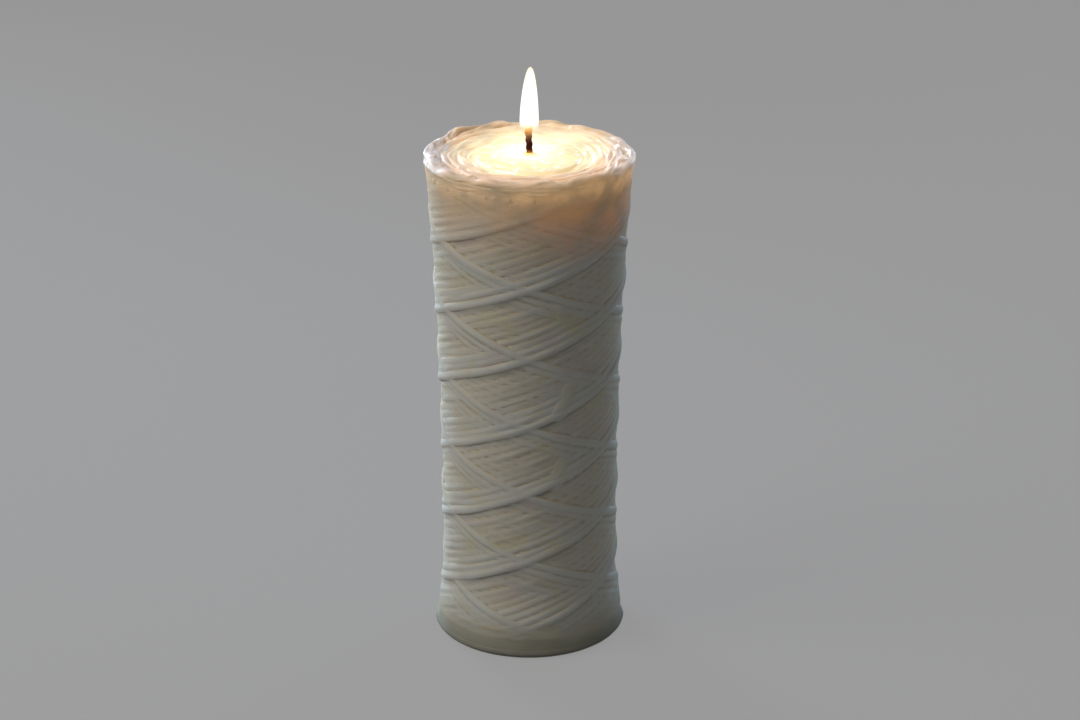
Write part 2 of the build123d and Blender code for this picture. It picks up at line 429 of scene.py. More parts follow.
def makeChar(bottom, top):
    made, tree, shader = newMaterial("wickChar")
    look = wickLook
    place = addNode(tree, "TexCoord").outputs["Object"]
    split = addNode(tree, "SeparateXYZ", {"Vector": measuredPlace(tree, place)}).outputs
    grain = noiseValue(tree, place, *look["grain"])
    ragged = mapValue(tree, grain, 0.2, 0.8, -look["ragged"], look["ragged"])
    share = calculate(tree, "ADD", mapValue(tree, split["Z"], bottom, top), ragged)
    stops = (
        (0.0, look["soaked"]), (0.1, look["soaked"]), (0.22, look["char"]),
        (0.5, look["char"]), (0.66, look["ash"]), (0.85, look["ember"]),
    )
    tone = rampColour(tree, share, stops)
    setInputs(tree, shader, {
        "Base Color": tone,
        "Emission Color": tone,
        "Emission Strength": mapValue(tree, share, *look["glow"]),
        "Normal": addBump(tree, grain, *look["bump"]).outputs["Normal"],
        **look["finish"],
    })
    return made


flameLook = {
    "white": colour(255, 252, 244),
    "cream": colour(255, 238, 205),
    "amber": colour(255, 214, 150),
    "strength": 1.5,
}


# Bright and nearly solid above, clear below where the wick shows.
def makeFlameGlow(name, bottom, top, cover):
    made, tree, shader = newMaterial(name)
    look = flameLook
    tree.nodes.remove(shader)
    place = addNode(tree, "TexCoord").outputs["Object"]
    split = addNode(tree, "SeparateXYZ", {"Vector": measuredPlace(tree, place)}).outputs
    share = mapValue(tree, split["Z"], bottom, top)
    stops = ((0.0, look["amber"]), (0.12, look["cream"]), (0.4, look["white"]), (1.0, look["cream"]))
    tone = rampColour(tree, share, stops)
    light = addNode(tree, "Emission", {"Color": tone, "Strength": look["strength"]})
    clear = addNode(tree, "BsdfTransparent")
    opaque = rampColour(tree, share, [(position, (value, value, value, 1.0)) for position, value in cover])
    both = addNode(tree, "MixShader", {0: opaque, 1: clear.outputs[0], 2: light.outputs[0]})
    tree.links.new(both.outputs[0], tree.nodes["Material Output"].inputs["Surface"])
    return made


wax = makeWax()
print("wax mixed")


# The winding. The cords of each hand lie side by side in bands. Each cord lies further out than those laid
# before it, so at every crossing the later one shows on top.
winding = {
    "pitch": 72.6,
    "bandStarts": 3,
    "cordsPerBand": 5,
    "underCords": 4,        # strands laid first, in the rest of each band
    "outermostSlot": 3,     # from the middle of the band
    "crossingAngle": 18.0,
    "crossingHeight": 22.8,
    "cordWidth": 3.2,       # softened, so flatter than round
    "cordThickness": 1.9,
    "relief": 1.75,         # from the first cord laid to the last
    "underShare": 0.45,     # the first cords lie nearly flush, this far up
    "laidPower": 1.7,       # the last cords gain the most
    "risingLift": 0.15,     # the first rising cords lie a little higher than the falling ones
    "sideSlope": 4.0,       # how steeply a cord's height falls off beside it
    "fillet": 0.3,          # how far melted wax rounds the creases
    "meltedFillet": 0.45,   # the same near the rim
    "filletSink": 1.1,      # wider fillets lie lower
    "meltReach": 0.42,      # a neighbour this much higher still takes the cord's side up with it
    "filletReach": 1.5,     # and wider fillets take it up further
    "meltShare": 0.94,
    "creaseReach": 1.5,
    "creaseRise": (0.1, 1.1),
    "wander": ((1.7, 0.20), (4.3, 0.12), (9.7, 0.06)),
    "heave": ((2.3, 0.10), (6.1, 0.07), (14.0, 0.035)),
    "lowEnd": 3.6,
    "highEnd": 165.0,
    "endRun": 16.0,         # the last degrees, where a cord dives under the wax below the rim
    "endLevel": 3.0,
    "endDive": 3.2,
    "ringAngle": 1.8,
    "sides": 22,
    "valley": 1.7,
    "fibreAlong": 0.06,
    "fibreAcross": 1.7,
    "fibreApart": 7.0,      # from cord to cord
    "fibreDrift": 150.0,
}
slotsPerBand = winding["cordsPerBand"] + winding["underCords"]
slotCount = winding["bandStarts"] * slotsPerBand
slotRise = winding["pitch"] / slotCount
climb = winding["pitch"] / 360.0
halfWidth = winding["cordWidth"] / 2.0
halfThickness = winding["cordThickness"] / 2.0
firstIndex = winding["outermostSlot"] - winding["cordsPerBand"] + 1
outerLevel = winding["relief"]
outerRadius = candle["waistRadius"] + candle["wall"]
leadCosine = math.cos(math.atan(winding["pitch"] / (2.0 * math.pi * outerRadius)))
zeroHeight = {
    1: winding["crossingHeight"] - winding["crossingAngle"] * climb,
    -1: winding["crossingHeight"] + winding["crossingAngle"] * climb,
}


def flare(distance, run, rise):
    span = np.maximum(distance, 0.0)
    bend = 2.0 * rise / (run * run + rise * rise) * span
    return bend * span / (1.0 + np.sqrt(1.0 - bend * bend))


def coreRadius(z):
    topRun = candle["coreTop"] - candle["waistTop"]
    topRise = candle["coreTopRadius"] - candle["waistRadius"]
    bottomRun = candle["waistBottom"] - candle["footTop"]
    upper = flare(z - candle["waistTop"], topRun, topRise)
    lower = flare(candle["waistBottom"] - z, bottomRun, candle["bottomFlare"])
    return candle["waistRadius"] + upper + lower


# Heights below are measured outwards from this radius.
def baseRadius(z):
    return coreRadius(z) + candle["wall"] - outerLevel - halfThickness


# How far a place lies under the crowns of the outermost cords.
def depthAt(height, least=0.0):
    return np.clip(outerLevel + halfThickness - height, least, 5.0)


def cordSeed(hand, slot):
    return np.mod(slot, slotCount) + 1.0 + (0.0 if hand > 0 else slotCount)


foot = {
    "edge": 2.8,            # rounding at the table
    "edgeSteps": 6,
    "sideTop": 30.5,        # radius where the winding starts
    "bow": 0.35,
    "crestHeight": 7.0,     # above this the foot runs out under the winding
    "crest": ((2.0, 0.9), (5.0, 0.8), (11.0, 0.5)),
    "fall": 0.16,
    "dent": ((3.0, 0.14), (7.0, 0.12), (19.0, 0.07)),
    "fillet": 0.45,
    "filletFade": (6.0, 14.0),
    "lip": {"angle": -33.0, "width": 26.0, "z": 10.0, "height": 0.9, "under": 0.8, "over": 2.5},
    "boreRadius": 1.15,
    "underRings": (8.0, 16.0, 24.0),
    "topOver": 1.2,
    "collar": 4.0,          # runs up under the first cords
    "collarInner": 26.0,
    "topInner": 22.0,
    "rings": 22,
    "steps": 360,
    "depth": 1.2,
}


def footSide(z):
    share = np.clip(z / candle["footTop"], 0.0, 1.3)
    straight = candle["footRadius"] + (foot["sideTop"] - candle["footRadius"]) * share
    return straight - foot["bow"] * 4.0 * share * (1.0 - share)


# Towards the rim and the foot the cords are melted flush.
ends = {
    "flushShare": 0.72,
    "softFrom": 142.0,
    "softTo": 160.0,
    "softRelief": 0.5,
    "swellFrom": 157.0,     # at the front the wall swells out to meet the rim
    "swellTo": 166.0,
    "swell": 0.4,
    "lowFrom": 20.0,
    "lowTo": 6.0,
    "lowRelief": 0.3,
    "lowRise": 0.1,
    "sinkFrom": 7.5,
    "sink": 1.6,
}


# Height of a cord's centre line.
def cordLevel(hand, slot, along, z):
    index = np.mod(slot - firstIndex, slotsPerBand)
    order = np.where(index < winding["cordsPerBand"], index, 0)
    laid = (2.0 * order + (1.0 if hand > 0 else 0.0)) / (2.0 * winding["cordsPerBand"] - 1.0)
    gain = (1.0 - winding["underShare"]) * laid ** winding["laidPower"]
    level = outerLevel * (winding["underShare"] + gain)
    level = level + (winding["risingLift"] if hand > 0 else 0.0) * (1.0 - laid)
    uneven = wave(cordSeed(hand, slot), along, winding["heave"])
    high = smoothStep(ends["softFrom"], ends["softTo"], z)
    low = 1.0 - smoothStep(ends["lowTo"], ends["lowFrom"], z)
    melted = ends["flushShare"] * outerLevel
    footed = footSide(z) + ends["lowRise"] - halfThickness - baseRadius(z)
    swell = ends["swell"] * smoothStep(ends["swellFrom"], ends["swellTo"], z)
    flush = melted * (1.0 - low) + footed * low
    flush = flush + swell * np.clip(np.cos(np.radians(along)), 0.0, 1.0)
    relief = (1.0 - (1.0 - ends["softRelief"]) * high) * (1.0 - (1.0 - ends["lowRelief"]) * low)
    sink = ends["sink"] * (1.0 - smoothStep(winding["lowEnd"], ends["sinkFrom"], z))
    return flush + (level - melted + uneven) * relief - sink


def cordWander(hand, slot, along):
    return wave(cordSeed(hand, slot) + 50.0, along, winding["wander"])


# Heights of the cords of one hand that lie nearest to a place on the wall.
def nearCords(hand, angle, z):
    position = hand * (zeroHeight[hand] - z + hand * climb * angle) / slotRise
    nearest = np.floor(position)
    heights = []
    for step in (-1, 0, 1, 2):
        slot = nearest + step
        along = hand * (angle - 360.0 * np.floor(slot / slotCount))
        aside = (position - slot) * slotRise * leadCosine - cordWander(hand, slot, along)
        crown = halfThickness * np.sqrt(np.maximum(0.0, 1.0 - (aside / halfWidth) ** 2))
        past = winding["sideSlope"] * np.maximum(0.0, np.abs(aside) - halfWidth)
        heights.append(cordLevel(hand, slot, along, z) + crown - past)
    return heights


def footHeight(angle, z):
    crest = foot["crestHeight"] + wave(71.0, angle, foot["crest"])
    fall = foot["fall"] * np.maximum(0.0, z - crest) ** 1.5
    lip = foot["lip"]
    beside = np.exp(-((angle - lip["angle"]) / lip["width"]) ** 4)
    run = np.where(z < lip["z"], lip["under"], lip["over"])
    ridge = lip["height"] * beside * np.exp(-((z - lip["z"]) / run) ** 2)
    return footSide(z) + wave(72.0, angle, foot["dent"]) + ridge - baseRadius(z) - fall


def filletAt(z):
    high = (winding["meltedFillet"] - winding["fillet"]) * smoothStep(ends["softFrom"], ends["softTo"], z)
    low = (foot["fillet"] - winding["fillet"]) * (1.0 - smoothStep(*foot["filletFade"], z))
    return winding["fillet"] + high + low


# The melted-together outer surface of all cords and the foot.
def waxHeight(angle, z):
    fillet = filletAt(z)
    heights = nearCords(1, angle, z) + nearCords(-1, angle, z) + [footHeight(angle, z)]
    top = np.max(heights, axis=0)
    rounded = fillet * np.log(sum(np.exp((height - top) / fillet) for height in heights))
    return top + rounded - winding["filletSink"] * (fillet - winding["fillet"])


# 1 right under a cord that stands proud, 0 on open wax. It masks the painted shadow under the cords.
def creaseAt(angle, z):
    rise = waxHeight(angle, z + winding["creaseReach"]) - waxHeight(angle, z)
    return smoothStep(*winding["creaseRise"], rise)


# A surface takes up the melted one where it lies just under it, and stays itself where it is buried.
def settle(angle, z, own):
    rise = waxHeight(angle, z) - own
    reach = winding["meltReach"] + winding["filletReach"] * (filletAt(z) - winding["fillet"])
    return own + winding["meltShare"] * rise * (1.0 - smoothStep(reach, 2.0 * reach, rise))


def makeCord(name, hand, slot, nodes):
    zero = zeroHeight[hand] - hand * slot * slotRise
    first = (winding["lowEnd"] - zero) / climb
    last = (winding["highEnd"] - zero) / climb
    steps = math.ceil((last - first) / winding["ringAngle"])
    bm = bmesh.new()
    outward = roundAxis(hand * first, 1.0, 0.0) / mm
    upright = Vector((0, 0, 1))
    centre = roundAxis(hand * first, outerRadius, winding["lowEnd"])
    halfHeight = halfWidth / leadCosine
    columns = (outward * halfThickness * mm, upright * halfHeight * mm, outward.cross(upright) * mm)
    section = Matrix(columns).transposed().to_4x4()
    section.translation = centre
    bmesh.ops.create_circle(bm, segments=winding["sides"], radius=1.0, matrix=section)
    mesh = carryRound(bm, name, hand * (last - first), steps, winding["highEnd"] - winding["lowEnd"])
    angle, radius, z = readCylinder(mesh)
    turns = np.round((z - zero - hand * climb * angle) / winding["pitch"])
    along = hand * angle + 360.0 * turns
    aside = (z - zero - climb * along) / halfHeight
    out = (radius - outerRadius) / halfThickness
    z = z - hand * cordWander(hand, slot, along) / leadCosine
    dive = winding["endDive"] * smoothStep(last - winding["endRun"], last - winding["endLevel"], along)
    own = cordLevel(hand, slot, along, z) + out * halfThickness - dive
    height = np.where(out > 0.0, settle(angle, z, own), own)
    writeCylinder(mesh, angle, baseRadius(z) + height, z)
    fibre = winding["fibreApart"] * cordSeed(hand, slot) + winding["fibreAcross"] * aside
    addAttribute(mesh, "depth", depthAt(height))
    addAttribute(mesh, "valley", np.clip(winding["valley"] * (1.0 - out), 0.0, 1.0))
    addAttribute(mesh, "creaseShadow", creaseAt(angle, z))
    addAttribute(mesh, "along", np.radians(along) * outerRadius * winding["fibreAlong"])
    addAttribute(mesh, "around", fibre + along / winding["fibreDrift"])
    return finishPiece(name, mesh, wax, nodes)


def makeWinding():
    cords = winding["cordsPerBand"]
    for hand, word in ((1, "rising"), (-1, "falling")):
        for band in range(winding["bandStarts"]):
            for index in range(slotsPerBand):
                slot = band * slotsPerBand + index + firstIndex
                if index < cords:
                    node = f"{word}_cord_{band + 1}_{index + 1}"
                    makeCord(f"{word}Cord_{band + 1}_{index + 1}", hand, slot, [node])
                else:
                    makeCord(f"{word}UnderCord_{band + 1}_{index - cords + 1}", hand, slot, [])
    print("winding laid:", 2 * slotCount, "cords")


makeWinding()


# Scale of the fibre in wax that isn't cord
plainFibre = {"along": 0.03, "around": 0.5}


def addPlainFibre(mesh, angle, around):
    addAttribute(mesh, "along", angle * plainFibre["along"])
    addAttribute(mesh, "around", around)


# Wax set between the cords, a little under their surface, and nearly level with it below the rim.
wallBed = {
    "bottom": 6.0,
    "top": 166.2,           # inside the rim
    "rings": 267,
    "steps": 280,
    "inner": 24.0,
    "innerTop": 163.5,
    "levelFade": (152.0, 160.0),
    "below": 0.3,
    "levelShare": 0.7,
    "valley": 0.9,
    "levelValley": 0.3,
}


def makeWallBed():
    outline = [(wallBed["inner"], wallBed["innerTop"]), (wallBed["inner"], wallBed["bottom"])]
    for step in range(wallBed["rings"] + 1):
        z = wallBed["bottom"] + (wallBed["top"] - wallBed["bottom"]) * step / wallBed["rings"]
        outline.append((outerRadius, z))
    mesh = turnOutline("wallBed", outline, wallBed["steps"])
    angle, radius, z = readCylinder(mesh)
    level = smoothStep(*wallBed["levelFade"], z)
    height = waxHeight(angle, z) - wallBed["below"] * (1.0 - wallBed["levelShare"] * level)
    inside = radius < outerRadius - 1.0
    writeCylinder(mesh, angle, np.where(inside, radius, baseRadius(z) + height), z)
    addAttribute(mesh, "depth", depthAt(height))
    addAttribute(mesh, "valley", wallBed["valley"] + (wallBed["levelValley"] - wallBed["valley"]) * level)
    addAttribute(mesh, "creaseShadow", creaseAt(angle, z))
    addPlainFibre(mesh, angle, z * plainFibre["around"])
    return finishPiece("wallBed", mesh, wax)


makeWallBed()
print("wax set between the cords")


def makeFoot():
    bore = foot["boreRadius"]
    top = candle["footTop"] + foot["topOver"]
    collar = top + foot["collar"]
    edge = foot["edge"]
    outline = [(bore, top), (bore, 0.0)] + [(radius, 0.0) for radius in foot["underRings"]]
    for step in range(foot["edgeSteps"] + 1):
        a = math.radians(90.0 * step / foot["edgeSteps"])
        outline.append((candle["footRadius"] - edge + edge * math.sin(a), edge - edge * math.cos(a)))
    for step in range(1, foot["rings"] + 1):
        z = edge + (collar - edge) * step / foot["rings"]
        outline.append((float(footSide(z)), z))
    outline += [(foot["collarInner"], collar), (foot["topInner"], top)]
    mesh = turnOutline("footWax", outline, foot["steps"])
    angle, radius, z = readCylinder(mesh)
    outer = radius > footSide(z) - edge
    own = footHeight(angle, z)
    side = outer & (z > edge * 0.9)
    settled = np.where(side, baseRadius(z) + settle(angle, z, own), radius)
    low = outer & ~side
    settled = np.where(low, radius + wave(72.0, angle, foot["dent"]) * smoothStep(0.0, edge, z), settled)
    writeCylinder(mesh, angle, settled, z)
    addAttribute(mesh, "depth", foot["depth"])
    # more valley tone towards the table: painted shade at the bottom edge
    addAttribute(mesh, "valley", 0.35 + 0.3 * (1.0 - smoothStep(0.0, 3.0, z)))
    addPlainFibre(mesh, angle, z * plainFibre["around"])
    return finishPiece("footWax", mesh, wax, ["foot"])


makeFoot()
print("foot turned")


# The rim: cord laid in loops round the top face, with finer strands twisted round the outer loop.
rim = {
    "loops": 5,
    "step": 3.7,
    "cordRadius": 1.45,
    "startAngle": -20.0,
    "crossover": 70.0,
    "lastTurn": 193.0,
    "loopAngle": 2.5,       # between the points of a loop
    "faceBelow": 0.4,       # the face starts this far under the rim's top
    "dish": 0.45,           # each loop lies this much lower than the one outside it
    "sway": ((2.7, 0.35), (6.3, 0.30), (14.6, 0.20)),
    "bob": ((1.7, 0.20), (5.3, 0.25), (12.6, 0.18)),
    "strands": 10,          # finer strands twisted round the outer loop
    "strandRadius": 0.58,
    "strandReach": 1.15,
    "strandFlat": 0.85,
    "strandLay": 5,
    "strandStray": ((2.0, 40.0), (5.0, 30.0)),
    "rollRadius": 32.3,
    "rollHeight": 166.7,
    "rollSway": ((3.0, 0.25), (7.0, 0.18), (16.0, 0.18)),
    "rollBob": ((2.0, 0.25), (6.0, 0.35), (13.0, 0.35), (23.0, 0.20)),
    "loose": (30.8, 29.6, 28.2, 26.8, 25.2, 23.4, 21.4, 19.4),
    "looseRadius": 0.6,
    "looseBelow": 0.45,
    "looseSway": ((2.0, 0.7), (5.0, 0.6), (11.0, 0.35)),
    "looseBob": ((3.0, 0.15), (8.0, 0.15)),
    "folds": (              # strands that sag over the edge in loops
        {"angle": 35.0, "span": 44.0, "crest": 167.6, "drop": 4.0},
        {"angle": 28.0, "span": 34.0, "crest": 167.6, "drop": 2.4},
        {"angle": 6.0, "span": 40.0, "crest": 167.0, "drop": 2.6},
        {"angle": -12.0, "span": 44.0, "crest": 167.4, "drop": 1.8},
        {"angle": -40.0, "span": 52.0, "crest": 167.2, "drop": 3.0},
        {"angle": -58.0, "span": 46.0, "crest": 167.6, "drop": 1.8},
        {"angle": -88.0, "span": 40.0, "crest": 167.6, "drop": 2.6},
        {"angle": -94.0, "span": 30.0, "crest": 168.2, "drop": 1.2},
        {"angle": 80.0, "span": 46.0, "crest": 167.6, "drop": 3.0},
        {"angle": 88.0, "span": 36.0, "crest": 168.2, "drop": 1.4},
        {"angle": 62.0, "span": 40.0, "crest": 167.8, "drop": 1.8},
        {"angle": 128.0, "span": 50.0, "crest": 167.2, "drop": 3.4},
        {"angle": -150.0, "span": 62.0, "crest": 167.2, "drop": 3.6},
    ),
    "foldRadius": 0.8,
    "foldSunk": 0.75,       # under the crowns of the wall
    "foldInner": 2.2,       # its ends lie this far inside the roll
    "foldSway": ((9.0, 0.1),),
    "foldSteps": 40,
    "bedBottom": 162.6,
    "bedTop": 166.0,
    "bedInner": 14.6,
    "bedInset": 2.6,
    "bedRise": 0.4,
    "bedShoulder": 6.0,
    "bedLip": 2.0,
    "bedDish": 0.9,
    "bedEnd": 1.4,
    "steps": 180,
    "voxel": 0.33,
    "smoothing": 3,
    "sunkFrom": 0.3,
    "depth": (0.7, 1.2),
    "edgeRadius": (32.0, 30.0),
    "edgeValley": 0.2,
    "valley": 0.75,
    "fibre": 1.2,
}


def addRoute(curve, points, radius, closed=False):
    spline = curve.splines.new("POLY")
    spline.points.add(len(points) - 1)
    spline.use_cyclic_u = closed
    for point, place in zip(spline.points, points):
        point.co = (*place, 1.0)
        point.radius = radius


# Height of the dished top face.
def rimFace(radius):
    inward = candle["rimRadius"] - rim["cordRadius"] - radius
    return candle["rimTop"] - rim["faceBelow"] - rim["dish"] / rim["step"] * inward


def rimLoopRoute():
    last = 360.0 * (rim["loops"] - 1) + rim["lastTurn"]
    outer = candle["rimRadius"] - rim["cordRadius"]
    points = []
    for step in range(int(last / rim["loopAngle"]) + 1):
        turned = rim["loopAngle"] * step
        loop = math.floor(turned / 360.0)
        laid = loop + float(smoothStep(360.0 - rim["crossover"], 360.0, turned - 360.0 * loop))
        radius = outer - rim["step"] * laid + wave(81.0, turned, rim["sway"])
        z = rimFace(radius) - rim["cordRadius"] + wave(87.0, turned, rim["bob"])
        points.append(roundAxis(rim["startAngle"] + turned, radius, z))
    return points


def strandRoute(number):
    points = []
    for step in range(rim["steps"]):
        angle = 360.0 * step / rim["steps"]
        turn = 360.0 / rim["strands"] * number + rim["strandLay"] * angle
        turn = math.radians(turn + wave(101.0 + number, angle, rim["strandStray"]))
        radius = rim["rollRadius"] + wave(99.0, angle, rim["rollSway"]) + rim["strandReach"] * math.cos(turn)
        rise = rim["strandFlat"] * rim["strandReach"] * math.sin(turn)
        points.append(roundAxis(angle, radius, rim["rollHeight"] + wave(98.0, angle, rim["rollBob"]) + rise))
    return points


def looseRoute(number, middle):
    points = []
    for step in range(rim["steps"]):
        angle = 360.0 * step / rim["steps"]
        radius = middle + wave(111.0 + number, angle, rim["looseSway"])
        z = rimFace(radius) - rim["looseBelow"] + wave(121.0 + number, angle, rim["looseBob"])
        points.append(roundAxis(angle, radius, z))
    return points


def foldRoute(fold):
    inner = rim["rollRadius"] - rim["foldInner"]
    points = []
    for step in range(rim["foldSteps"] + 1):
        t = 2.0 * step / rim["foldSteps"] - 1.0
        angle = fold["angle"] + fold["span"] / 2.0 * t
        z = fold["crest"] - fold["drop"] * (1.0 - t * t) ** 1.2
        side = float(baseRadius(z)) + outerLevel + halfThickness - rim["foldSunk"]
        radius = inner + (side - inner) * (1.0 - t * t) ** 0.5 + wave(96.0, angle, rim["foldSway"])
        points.append(roundAxis(angle, radius, z))
    return points


def makeRim():
    curve = bpy.data.curves.new("rimRoutes", "CURVE")
    curve.dimensions = "3D"
    curve.bevel_depth = mm
    curve.bevel_resolution = 3
    curve.use_fill_caps = True
    addRoute(curve, rimLoopRoute(), rim["cordRadius"])
    for number in range(rim["strands"]):
        addRoute(curve, strandRoute(number), rim["strandRadius"], closed=True)
    for number, middle in enumerate(rim["loose"]):
        addRoute(curve, looseRoute(number, middle), rim["looseRadius"], closed=True)
    for fold in rim["folds"]:
        addRoute(curve, foldRoute(fold), rim["foldRadius"])
    tubes = applyModifiers(newObject("rimRoutes", curve))
    inner, outer = rim["bedInner"], candle["rimRadius"] - rim["bedInset"]
    bottom, top = rim["bedBottom"], rim["bedTop"]
    outline = [
        (inner, bottom), (outer, bottom), (outer, top + rim["bedRise"]), (outer - rim["bedShoulder"], top),
        (inner + rim["bedLip"], top - rim["bedDish"]), (inner, top - rim["bedEnd"]),
    ]
    bm = bmesh.new()
    bm.from_mesh(turnOutline("rimBed", outline, rim["steps"]))
    bm.from_mesh(tubes)
    rough = newObject("rimRough", meshFrom(bm, "rimWax"))
    fuse = rough.modifiers.new("fuse", "REMESH")
    fuse.mode = "VOXEL"
    fuse.voxel_size = rim["voxel"] * mm
    soften = rough.modifiers.new("soften", "SMOOTH")
    soften.factor = 0.5
    soften.iterations = rim["smoothing"]
    fused = applyModifiers(rough)
    angle, radius, z = readCylinder(fused)
    sunk = rimFace(radius) + rim["sunkFrom"] - z
    within = smoothStep(*rim["edgeRadius"], radius)
    valley = np.clip(rim["valley"] * sunk, 0.0, 1.0)
    addAttribute(fused, "depth", np.clip(sunk, *rim["depth"]))
    addAttribute(fused, "valley", rim["edgeValley"] + (valley - rim["edgeValley"]) * within)
    addPlainFibre(fused, angle, (radius + z) * rim["fibre"])
    return finishPiece("rimWax", fused, wax, ["rim_coil"])


makeRim()
print("rim laid")


# The pool of melted wax in the dish.
pool = {
    "radius": 17.2,
    "level": topOf("melt_pool") - 0.6,
    "floor": 163.2,
    "bore": 1.0,
    "rings": 46,
    "steps": 180,
    "climbHeight": 1.3,     # up the wick
    "climbWidth": 1.6,
    "ripple": 0.16,
    "calm": (3.0, 9.0),     # the ripple grows from the first radius to the second
    "rippleTurn": 21.0,     # degrees of its wave for each millimetre outwards
    "rippleSway": 9.0,
    "waves": ((1.0, 0.6), (2.1, 0.4)),
    "lumps": ((5.0, 0.5), (9.0, 0.4), (17.0, 0.3)),
}


def makePool():
    outline = [(pool["radius"], pool["floor"]), (pool["bore"], pool["floor"])]
    for step in range(pool["rings"] + 1):
        outline.append((pool["bore"] + (pool["radius"] - pool["bore"]) * step / pool["rings"], pool["level"]))
    mesh = turnOutline("meltedPool", outline, pool["steps"])
    angle, radius, z = readCylinder(mesh)
    surface = z > pool["level"] - 0.01
    climbed = pool["climbHeight"] * np.exp((pool["bore"] - radius) / pool["climbWidth"])
    reach = smoothStep(*pool["calm"], radius)
    sway = pool["rippleSway"] * np.sin(np.radians(3.0 * angle))
    ripple = wave(41.0, radius * pool["rippleTurn"] + sway, pool["waves"])
    lumps = wave(42.0, angle, pool["lumps"]) * np.sin(radius * 0.9)
    z = z + np.where(surface, climbed + pool["ripple"] * reach * (ripple + lumps), 0.0)
    writeCylinder(mesh, angle, radius, z)
    return finishPiece("meltedPool", mesh, makeMeltedWax(pool["radius"]), ["melt_pool"])


makePool()
print("pool filled")


# The wick: three plies twisted together, charred above the pool and bent a little by the burning.
wick = {
    "radius": 1.02,
    "sides": 30,
    "lobe": 0.10,
    "plies": 3,
    "twistPitch": 7.5,
    "bottom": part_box("wick")[0].z / mm,
    "top": topOf("wick"),
    "exposed": topOf("melt_pool") - 0.7,
    "ringRise": 0.3,
    "bend": 0.75,
    "tipSwell": 0.2,
    "tipSwellAt": (0.55, 0.85),     # shares of the exposed length
    "tipTaper": 0.55,
    "tipTaperAt": (0.9, 1.0),
    "ragged": ((3.0, 0.05), (7.0, 0.05)),
}


def makeWick():
    rise = wick["top"] - wick["bottom"]
    steps = math.ceil(rise / wick["ringRise"])
    twist = 360.0 * rise / wick["twistPitch"]
    bm = bmesh.new()
    made = bmesh.ops.create_circle(bm, segments=wick["sides"], radius=wick["radius"] * mm)
    for corner in made["verts"]:
        turn = math.atan2(corner.co.y, corner.co.x)
        corner.co *= 1.0 + wick["lobe"] * math.cos(wick["plies"] * turn)
        corner.co.z = wick["bottom"] * mm
    mesh = carryRound(bm, "wickYarn", twist, steps, rise)
    angle, radius, z = readCylinder(mesh)
    share = np.clip((z - wick["exposed"]) / (wick["top"] - wick["exposed"]), 0.0, 1.0)
    swell = wick["tipSwell"] * smoothStep(*wick["tipSwellAt"], share)
    taper = wick["tipTaper"] * smoothStep(*wick["tipTaperAt"], share)
    ragged = 1.0 + share * wave(31.0, angle + z * 40.0, wick["ragged"])
    writeCylinder(mesh, angle, radius * (1.0 + swell - taper) * ragged, z)
    for vertex, part in zip(mesh.vertices, share):
        vertex.co.x += wick["bend"] * mm * math.sin(part * math.pi) * (0.4 - part)
    mesh.update()
    char = makeChar(wick["exposed"], wick["top"])
    return finishPiece("wickYarn", mesh, char, ["wick"])


makeWick()
print("wick twisted")


# The flame: a faint outer shell round a bright body. cover pairs a share of the height with one of the light.
flame = {
    "bottom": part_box("flame")[0].z / mm,
    "top": topOf("flame"),
    "radius": reachOf("flame"),
    "belly": 0.29,          # share of the height where it is widest
    "footShare": 0.45,      # of the radius, at the bottom
    "middle": 0.42,         # smaller bodies shrink towards this share of the height
    "shrink": 0.6,
    "lowPoint": 0.35,       # its closed end, under the lowest ring
    "rings": 48,
    "steps": 48,
    "lean": 0.5,
    "shell": {"size": 0.9, "cover": ((0.0, 0.0), (0.1, 0.03), (0.2, 0.08), (0.29, 0.7), (1.0, 0.65))},
    "body": {"size": 0.78, "cover": ((0.0, 0.0), (0.22, 0.0), (0.3, 1.0))},
}


def flameRadius(t):
    belly = flame["belly"]
    if t < belly:
        return flame["footShare"] + (1.0 - flame["footShare"]) * math.sin(0.5 * math.pi * t / belly) ** 0.9
    return math.sqrt(1.0 - ((t - belly) / (1.0 - belly)) ** 1.5)


def makeFlame(name, part, nodes):
    bottom, tall = flame["bottom"], flame["top"] - flame["bottom"]
    middle = bottom + tall * flame["middle"]
    squeeze = 1.0 - flame["shrink"] + flame["shrink"] * part["size"]
    outline = []
    for step in range(flame["rings"] + 1):
        t = step / flame["rings"]
        radius = max(0.0, flame["radius"] * part["size"] * flameRadius(t))
        outline.append((radius, middle + (bottom + tall * t - middle) * squeeze))
    lowest = outline[0][1] - flame["lowPoint"]
    mesh = turnOutline(name, [(0.0, lowest)] + outline, flame["steps"], closed=False)
    for vertex in mesh.vertices:
        t = (vertex.co.z / mm - bottom) / tall
        vertex.co.x += flame["lean"] * mm * t * t
    mesh.update()
    glow = makeFlameGlow(name, bottom, flame["top"], part["cover"])
    return finishPiece(name, mesh, glow, nodes)


makeFlame("flameShell", flame["shell"], ["flame"])
makeFlame("flameBody", flame["body"], [])
print("flame lit")


# Wax that ran down over the cords and set there.
waxRuns = {
    "waxRun_1": {"angle": 24.0, "top": 102.0, "bottom": 85.0, "width": 4.2, "height": 0.3, "lean": -6.0},
    "waxRun_2": {"angle": 18.5, "top": 128.0, "bottom": 120.0, "width": 3.6, "height": 0.2, "lean": 4.0},
    "waxRun_3": {"angle": 20.0, "top": 75.0, "bottom": 60.0, "width": 3.6, "height": 0.2, "lean": -3.0},
}
# A run lies on the mean height of the wall at these places round it, (angle, rise), and sinks in a little.
runSpots = ((0.0, 0.0), (0.0, 1.6), (0.0, -1.6), (3.0, 0.0), (-3.0, 0.0), (0.0, 3.2), (0.0, -3.2))
runSunk = 0.5


